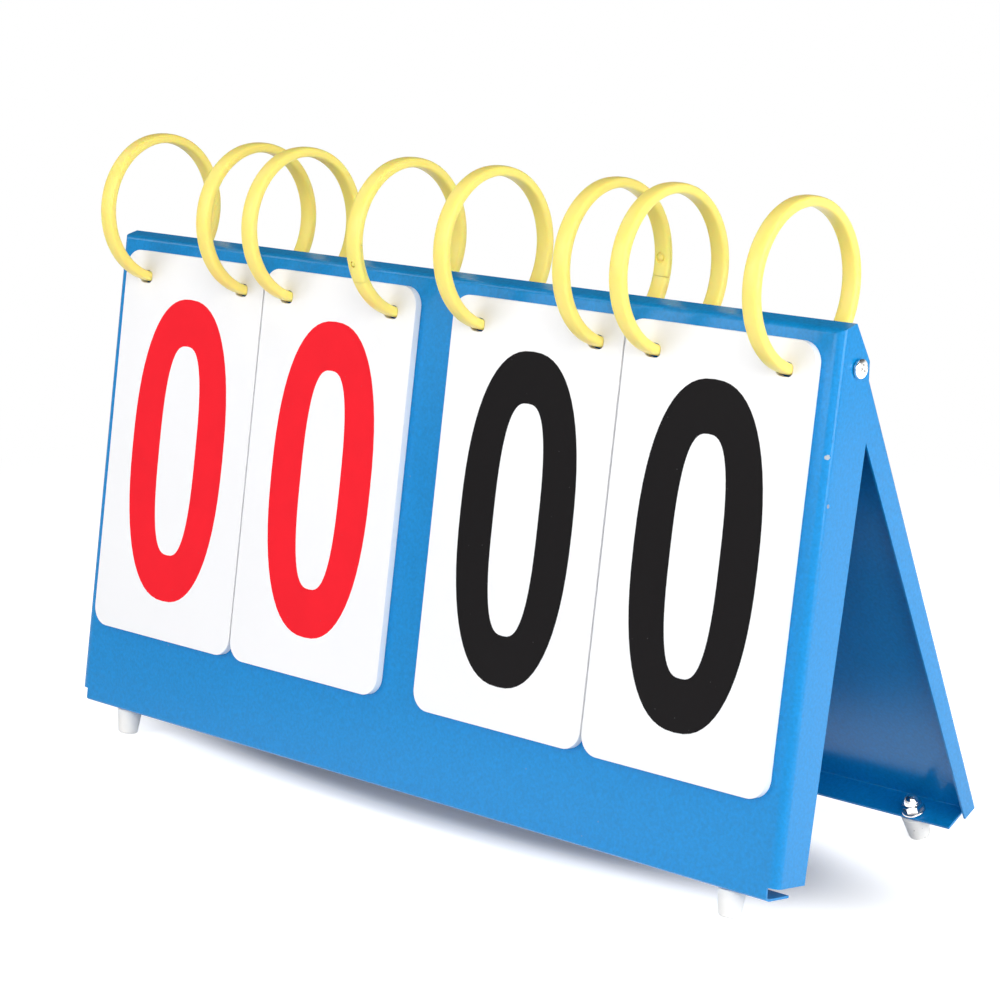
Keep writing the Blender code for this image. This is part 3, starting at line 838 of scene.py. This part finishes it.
def leaf_outline():
    """Rounded rectangle in the leaf's own (x, height) plane, its top edge at height 0."""
    size = sizes()
    radius = size.leaf_corner
    right, low = size.leaf_width / 2 - radius, radius - size.leaf_height
    points = []
    for x, y, start in (
        (right, -radius, 0), (-right, -radius, 90), (-right, low, 180), (right, low, 270)
    ):
        points += arc((x, y), radius, start, start + 90, 10)
    return points


def stack_depth():
    """From the front tray's outer face to the front of a stack's first leaf."""
    size = sizes()
    return STACK_BACK + LEAVES * size.leaf_pitch - (size.leaf_pitch - size.leaf_thickness)


def hole_down():
    """From a leaf's top edge down to its holes, which hang on the rings."""
    mean = sizes().ring_radius - sizes().ring_depth / 2
    drop = math.sqrt(mean**2 - (RING_BACK + stack_depth() / 2) ** 2) - RING_UP
    return drop + HOLE_SAG - TOP_MARGIN


def loop_edges(shape, loops):
    """The edges round closed loops of (x, height) points in the plane y = 0."""
    edges = []
    for loop in loops:
        row = [shape.verts.new((x, 0, y)) for x, y in loop]
        edges += [shape.edges.new(pair) for pair in zip(row, row[1:] + row[:1])]
    return edges


def leaf_shape(centre, front, loops):
    """A leaf in its place: coated sheet with ring holes, the figure flush in its face."""
    thickness = sizes().leaf_thickness
    shape = bmesh.new()
    outlines = [leaf_outline()]
    for side in (-1, 1):
        hole = (side * HOLE_SPACING / 2, -hole_down())
        outlines.append(superellipse(hole, *HOLE_HALF, HOLE_SQUARE, 32))
    sheet = loop_edges(shape, outlines)
    lowered = [[(x, y - FIGURE_DOWN) for x, y in loop] for loop in loops]
    figure = loop_edges(shape, lowered)
    for edges, index in ((sheet + figure, SHEET_FACE), (figure, INK_FACE)):
        filled = bmesh.ops.triangle_fill(
            shape, edges=edges, use_beauty=True, use_dissolve=False, normal=(0, -1, 0)
        )["geom"]
        for face in filled:
            if isinstance(face, bmesh.types.BMFace):
                face.material_index = index
                if face.normal.y > 0:
                    face.normal_flip()
    raise_faces(shape, list(shape.faces), (0, thickness, 0))
    for face in shape.faces:
        if face.normal.y > -0.5:
            face.material_index = SHEET_FACE
    seat = Matrix.Translation((centre, -front, -TOP_MARGIN))
    return placed(shape, FRONT @ seat)


# Feet and fasteners, with their outlines in millimetres

FOOT_HEIGHT = 10.8


def foot_shape():
    """Tapered rubber foot about Z, its top at z = 0, with the moulded-in stud."""
    top, bottom, top_edge, bottom_edge = 5.4, 4.4, 0.35, 1.3
    stud, stud_top, chamfer = 2.0, 6.1, 0.25
    points = [(0, stud_top), (stud - chamfer, stud_top), (stud, stud_top - chamfer)]
    points += [(stud, 0), *arc((top - top_edge, -top_edge), top_edge, 90, 0, 3)]
    points += arc(
        (bottom - bottom_edge, bottom_edge - FOOT_HEIGHT), bottom_edge, 0, -90, 7
    )
    points += [(bottom - bottom_edge - 0.3, -FOOT_HEIGHT), (1.2, 0.25 - FOOT_HEIGHT),
               (0, 0.3 - FOOT_HEIGHT)]
    return lathe(in_metres(points))


def nut_shape():
    """Flanged dome nut about Z, standing on z = 0."""
    flange, hexagon, height = 1.0, 3.2, 8.0
    flats, rim, cap_radius = 7.0, 4.7, 3.2
    bore, bore_depth = 2.3, 5.5
    spring, corner, rise = flange + hexagon, flats / math.sqrt(3), hexagon + flange / 2
    body = bmesh.new()
    bmesh.ops.create_cone(
        body, cap_ends=True, segments=6, radius1=corner * MM, radius2=corner * MM,
        depth=rise * MM, matrix=Matrix.Translation((0, 0, (spring - rise / 2) * MM)),
    )
    chamfer = [(0, 0), (corner + 1, 0), (corner + 1, spring - 1.2),
               (corner * 0.86, spring), (0, spring)]
    crown = dome(cap_radius, spring, height - spring, range(9, 91, 9))
    cap = [(0, height), *crown, (cap_radius, flange), (0, flange)]
    edge = arc((rim - 0.35, flange / 2 + 0.05), 0.45, 60, -60, 4)
    plate = [(0, flange), (rim - 0.35, flange), *edge, (rim - 0.4, 0), (0, 0)]
    hole = [(0, -1), (bore, -1), (bore, bore_depth), (0, bore_depth)]
    return combined(
        body,
        ("INTERSECT", lathe(in_metres(chamfer))),
        ("UNION", lathe(in_metres(cap))),
        ("UNION", lathe(in_metres(plate))),
        ("DIFFERENCE", lathe(in_metres(hole), 32)),
    )


def screw_shape():
    """Pan-head screw about Z, its seat at z = 0, with a tapered cross recess."""
    head, height, shank, radius = 3.65, 2.3, 5.7, 2.0
    recess, recess_floor, thin = 2.2, 0.7, 0.5
    crown = dome(head, height * 0.42, height * 0.58, (12, 24, 36, 48, 60, 70, 80, 90))
    points = [(0, height), *crown, (head, 0.2), (head - 0.2, 0), (radius, 0),
              (radius, 0.4 - shank), (radius - 0.4, -shank), (0, -shank)]
    wedge = [(-recess, height + 1), (recess, height + 1), (recess * 0.9, height - 0.2),
             (recess_floor, height - 1.3), (-recess_floor, height - 1.3),
             (-recess * 0.9, height - 0.2)]
    cuts = []
    for turn in (0, 90):
        slot = prism(in_metres(wedge), -thin * MM, thin * MM)
        cuts.append(("DIFFERENCE", placed(slot, turned(turn, "Z") @ turned(90, "X"))))
    return combined(lathe(in_metres(points)), *cuts)


def along_axis(base, direction):
    """Places a Z-built piece with its origin at base and +Z along a direction."""
    turn = Vector(direction).to_track_quat("Z", "Y").to_matrix().to_4x4()
    turn.translation = base
    return turn


def foot_places(name, rise):
    """Each corner's node and body, and the place of a piece that far up from the sole."""
    for tray, body in (("front", "front_stand"), ("rear", "rear_leg")):
        for side in SIDES:
            sole = MOUNTS[f"foot_{tray}_{side}_sole"]
            up = -Vector(sole["axis"])
            base = Vector(sole["pos_m"]) + up * rise
            yield f"{name}_{tray}_{side}", body, along_axis(base, up)


# Operators


class SCOREBOARD_OT_trays(bpy.types.Operator):
    """Round the edges of the two sheet-steel trays and powder-coat them"""

    bl_idname = "scoreboard.trays"
    bl_label = "Trays"

    def execute(self, context):
        coat = finish("blue_coat", coat_material)
        dressed_tray("front_tray", "front_stand", coat)
        dressed_tray("rear_tray", "rear_leg", coat)
        return {"FINISHED"}


class SCOREBOARD_OT_rings(bpy.types.Operator):
    """Mould the eight binder rings with their snap joints"""

    bl_idname = "scoreboard.rings"
    bl_label = "Rings"

    def execute(self, context):
        plastic = finish("yellow_moulding", plastic_material)
        places = []
        for number, clasp in enumerate(CLASP_ANGLES, 1):
            turn = Matrix.Rotation(math.radians(clasp) - FRONT_LEAN, 4, "X")
            turn.translation = JOINTS[f"ring_{number}_turn"]
            places.append((f"ring_{number}", f"ring_{number}", turn))
        keep_copies(ring_shape(), "binder", plastic, 40, places)
        return {"FINISHED"}


class SCOREBOARD_OT_leaves(bpy.types.Operator):
    """Print the four stacks of ten number leaves"""

    bl_idname = "scoreboard.leaves"
    bl_label = "Number leaves"

    def execute(self, context):
        sheet = finish("coated_leaf", leaf_material)
        printed = [figure_loops(steps) for steps in figures()]
        first, pitch = stack_depth(), sizes().leaf_pitch
        for stack in STACKS:
            colour = stack.split("_")[0]
            ink = finish(f"{colour}_ink", ink_material, f"{colour}_ink")
            centre = JOINTS[f"{stack}_flip"].x
            for number, loops in enumerate(printed):
                shape = leaf_shape(centre, first - number * pitch, loops)
                body = "front_stand" if number else f"{stack}_top_leaf"
                keep_piece(
                    f"{stack}_card_{number}", shape, [sheet, ink], body,
                    f"{stack}_leaf_{number}",
                )
        return {"FINISHED"}


class SCOREBOARD_OT_feet(bpy.types.Operator):
    """Mould the four rubber feet"""

    bl_idname = "scoreboard.feet"
    bl_label = "Feet"

    def execute(self, context):
        rubber = finish("moulded_rubber", rubber_material)
        places = foot_places("foot", FOOT_HEIGHT * MM)
        keep_copies(foot_shape(), "rubber", rubber, 40, places)
        return {"FINISHED"}


class SCOREBOARD_OT_fasteners(bpy.types.Operator):
    """Turn the dome nuts on the feet and the two hinge screws"""

    bl_idname = "scoreboard.fasteners"
    bl_label = "Nuts and screws"

    def execute(self, context):
        steel = finish("nickel_plate", steel_material)
        places = foot_places("dome_nut", FOOT_HEIGHT * MM + 2 * SEAT + SHEET)
        keep_copies(nut_shape(), "bright", steel, 30, places)
        hinge = JOINTS["rear_leg_fold"]
        places = []
        for side in SIDES:
            node = f"hinge_screw_{side}"
            way = 1 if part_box(node)[0].x > 0 else -1
            base = Vector((way * (FRONT_HALF + SEAT), hinge.y, hinge.z))
            turn = along_axis(base, (way, 0, 0)) @ turned(18, "Z")
            places.append((node, "rear_leg", turn))
        keep_copies(screw_shape(), "bright", steel, 30, places)
        return {"FINISHED"}


class SCOREBOARD_OT_stage(bpy.types.Operator):
    """Set up the pale floor, the soft studio light and the camera"""

    bl_idname = "scoreboard.stage"
    bl_label = "Stage"

    def execute(self, context):
        make_floor()
        make_world()
        make_lights()
        make_camera()
        context.scene.view_settings.view_transform = "Standard"
        return {"FINISHED"}


# Stage

FLOOR_HALF = 3.0
FLOOR_COLOUR = (0.74, 0.755, 0.78)
# The strip of floor under the front tray whose glow is dimmed, a painted shadow: its middle, one over its half
# sizes, and where it starts and ends to fade, with the floor's glow at both ends
SHADE_CENTRE = (-0.005, -0.01, 0.0)
SHADE_SHARE = (1 / 0.2, 1 / 0.052, 0.0)
SHADE_ENDS = (0.7, 1.22, 0.06, 0.85)
# Where the floor starts and ends to turn plain white, by distance from the middle
WHITE_ENDS = (0.32, 0.75, 0.0, 1.0)
# Patches of floor that glow only in reflections, a painted reflection for the coat to mirror: middle, where each
# starts and ends to fade, and its strength; then the strength everywhere
PAINTED_GLARES = (
    ((0.45, 0.35, 0.0), 0.25, 1.2, 1.8),
    ((-0.08, -0.42, 0.0), 0.08, 0.36, 1.25),
)
PAINTED_GLARE_BASE = 0.28

# Studio brightness against height: what lights the stand, and what it mirrors; then the
# strength of the first, and of the second from left to right
LIT_STOPS = ((0.0, 1.0), (0.25, 0.5), (0.6, 0.12), (1.0, 0.06))
MIRRORED_STOPS = ((0.10, 1.0), (0.36, 0.14), (1.0, 0.06))
LIT_STRENGTH = 0.45
MIRRORED_ENDS = (-0.8, 0.5, 0.45, 1.6)

# Place, what it points at, its two sides and its watts
LIGHTS = {
    "front_softbox": ((-0.75, -1.9, 0.9), (0, 0, 0.12), (1.5, 1.2), 21),
    "camera_softbox": ((1.35, -1.45, 1.0), (0, 0, 0.12), (1.0, 0.8), 14.3),
    "right_softbox": ((1.9, -0.1, 0.55), (0, 0, 0.12), (1.2, 1.1), 26),
    "top_softbox": ((0.3, -0.4, 2.0), (0, 0, 0.25), (1.2, 1.2), 5),
    "left_softbox": ((-1.3, -0.3, 1.4), (0, 0, 0.25), (0.8, 0.8), 4),
}

CAMERA_PLACE = (0.75756, -0.851726, 0.364574)
CAMERA_TURN = (77.98901, -0.70788, 41.89512)
CAMERA_LENS = 101.74
CAMERA_SENSOR = 36.0


def make_floor():
    """A wide floor that keeps the stand's shadow and turns plain white away from it; its glow is dimmed under the
    front tray, a painted shadow, and patches glow in reflections only, a painted reflection.
    """
    shape = bmesh.new()
    bmesh.ops.create_grid(shape, x_segments=1, y_segments=1, size=FLOOR_HALF)
    floor = new_object("floor", shape)
    material = bpy.data.materials.new("pale_floor")
    material.use_nodes = True
    floor.data.materials.append(material)
    tree = material.node_tree
    spot = add_node(tree, "ShaderNodeTexCoord", (-1250, 0)).outputs["Object"]
    rays = add_node(tree, "ShaderNodeLightPath", (-900, -300)).outputs
    # The floor's glow to the camera, dimmed under the front tray: a painted shadow.
    beside = vector_maths(tree, "SUBTRACT", (-1050, -150), spot, SHADE_CENTRE)
    beside = vector_maths(tree, "MULTIPLY", (-900, -150), beside, SHADE_SHARE)
    apart = vector_maths(tree, "LENGTH", (-700, -150), beside)
    glow = map_range(tree, apart, (-500, -150), SHADE_ENDS, "SMOOTHSTEP")
    # Floor glow seen only in reflections: a painted reflection.
    glare = PAINTED_GLARE_BASE
    for row, (centre, start, end, level) in enumerate(PAINTED_GLARES):
        height = -500 - 200 * row
        apart = vector_maths(tree, "DISTANCE", (-700, height), spot, centre)
        ends = (start, end, level, 0.0)
        patch = map_range(tree, apart, (-500, height), ends, "SMOOTHSTEP")
        glare = maths(tree, "ADD", (-300, height), patch, glare)
    glare = maths(tree, "MULTIPLY", (-150, -650), glare, glow)
    seen = maths(tree, "MULTIPLY", (-150, -300), rays["Is Camera Ray"], glow)
    mirrored = maths(tree, "MULTIPLY", (-150, -500), rays["Is Glossy Ray"], glare)
    ground = tree.nodes["Principled BSDF"]
    for label, value in {
        "Base Color": FLOOR_COLOUR,
        "Roughness": 0.9,
        "Specular IOR Level": 0.0,
        "Emission Color": WHITE,
        "Emission Strength": maths(tree, "ADD", (0, -400), seen, mirrored),
    }.items():
        set_input(tree, ground.inputs[label], value)
    away = vector_maths(tree, "LENGTH", (-700, 0), spot)
    fade = map_range(tree, away, (-500, 0), WHITE_ENDS, "SMOOTHSTEP")
    far = maths(tree, "MULTIPLY", (-200, -100), rays["Is Camera Ray"], fade)
    white = add_node(tree, "ShaderNodeEmission", (0, 200), {"Color": WHITE})
    both = mix_shaders(tree, (600, 0), far, ground.outputs[0], white.outputs[0])
    set_input(tree, tree.nodes["Material Output"].inputs["Surface"], both)


def height_ramp(tree, height, stops, place):
    """Grey levels against a direction's height, from level to straight up."""
    ramp = add_node(tree, "ShaderNodeValToRGB", place, {0: height})
    elements = ramp.color_ramp.elements
    while len(elements) < len(stops):
        elements.new(0.5)
    for element, (level, grey) in zip(elements, stops):
        element.position = level
        element.color = (grey, grey, grey * 1.01, 1.0)
    return ramp.outputs[0]


def make_world():
    """A studio that lights the stand, shows in its coat and looks plain white itself."""
    world = bpy.data.worlds.new("studio")
    bpy.context.scene.world = world
    world.use_nodes = True
    tree = world.node_tree
    way = add_node(tree, "ShaderNodeTexCoord", (-1100, 0)).outputs["Generated"]
    split = add_node(tree, "ShaderNodeSeparateXYZ", (-900, 0), {0: way}).outputs
    rays = add_node(tree, "ShaderNodeLightPath", (-300, 300)).outputs
    lit = tree.nodes["Background"]
    lit_grey = height_ramp(tree, split[2], LIT_STOPS, (-700, 0))
    set_input(tree, lit.inputs["Color"], lit_grey)
    set_input(tree, lit.inputs["Strength"], LIT_STRENGTH)
    mirrored = add_node(
        tree, "ShaderNodeBackground", (0, -200),
        {
            "Color": height_ramp(tree, split[2], MIRRORED_STOPS, (-700, -300)),
            "Strength": map_range(tree, split[0], (-500, -500), MIRRORED_ENDS),
        },
    )
    seen = add_node(tree, "ShaderNodeBackground", (0, -400), {"Color": WHITE})
    both = mix_shaders(
        tree, (250, 0), rays["Is Glossy Ray"], lit.outputs[0], mirrored.outputs[0]
    )
    both = mix_shaders(tree, (450, 0), rays["Is Camera Ray"], both, seen.outputs[0])
    set_input(tree, tree.nodes["World Output"].inputs["Surface"], both)


def make_lights():
    for name, (place, target, size, watts) in LIGHTS.items():
        light = bpy.data.lights.new(name, "AREA")
        light.shape = "RECTANGLE"
        light.size, light.size_y = size
        light.energy = watts
        item = bpy.data.objects.new(name, light)
        bpy.context.scene.collection.objects.link(item)
        item.location = place
        way = Vector(target) - Vector(place)
        item.rotation_euler = way.to_track_quat("-Z", "Y").to_euler()


def make_camera():
    camera = bpy.data.cameras.new("camera")
    camera.sensor_width = CAMERA_SENSOR
    camera.lens = CAMERA_LENS
    item = bpy.data.objects.new("camera", camera)
    bpy.context.scene.collection.objects.link(item)
    item.location = CAMERA_PLACE
    item.rotation_euler = [math.radians(angle) for angle in CAMERA_TURN]
    bpy.context.scene.camera = item


class SCOREBOARD_PT_panel(bpy.types.Panel):
    """Sizes, colours and steps of the flip scoreboard"""

    bl_idname = "SCOREBOARD_PT_panel"
    bl_label = "Flip Scoreboard"
    bl_space_type = "VIEW_3D"
    bl_region_type = "UI"
    bl_category = "Scoreboard"

    def draw(self, context):
        for group in (sizes(), colours()):
            section = self.layout.box()
            for name in group.__annotations__:
                section.prop(group, name)
        for step in STEPS:
            self.layout.operator(step.bl_idname)


STEPS = (
    SCOREBOARD_OT_trays,
    SCOREBOARD_OT_rings,
    SCOREBOARD_OT_leaves,
    SCOREBOARD_OT_feet,
    SCOREBOARD_OT_fasteners,
    SCOREBOARD_OT_stage,
)
CLASSES = (ScoreboardSizes, ScoreboardColours, *STEPS, SCOREBOARD_PT_panel)


def register():
    for item in CLASSES:
        bpy.utils.register_class(item)
    bpy.types.Scene.scoreboard_sizes = bpy.props.PointerProperty(type=ScoreboardSizes)
    bpy.types.Scene.scoreboard_colours = bpy.props.PointerProperty(type=ScoreboardColours)


def unregister():
    del bpy.types.Scene.scoreboard_colours
    del bpy.types.Scene.scoreboard_sizes
    for item in reversed(CLASSES):
        bpy.utils.unregister_class(item)


def main():
    register()
    bpy.ops.scoreboard.trays()
    bpy.ops.scoreboard.rings()
    bpy.ops.scoreboard.leaves()
    bpy.ops.scoreboard.feet()
    bpy.ops.scoreboard.fasteners()
    bpy.ops.scoreboard.stage()


if __name__ == "__main__":
    main()
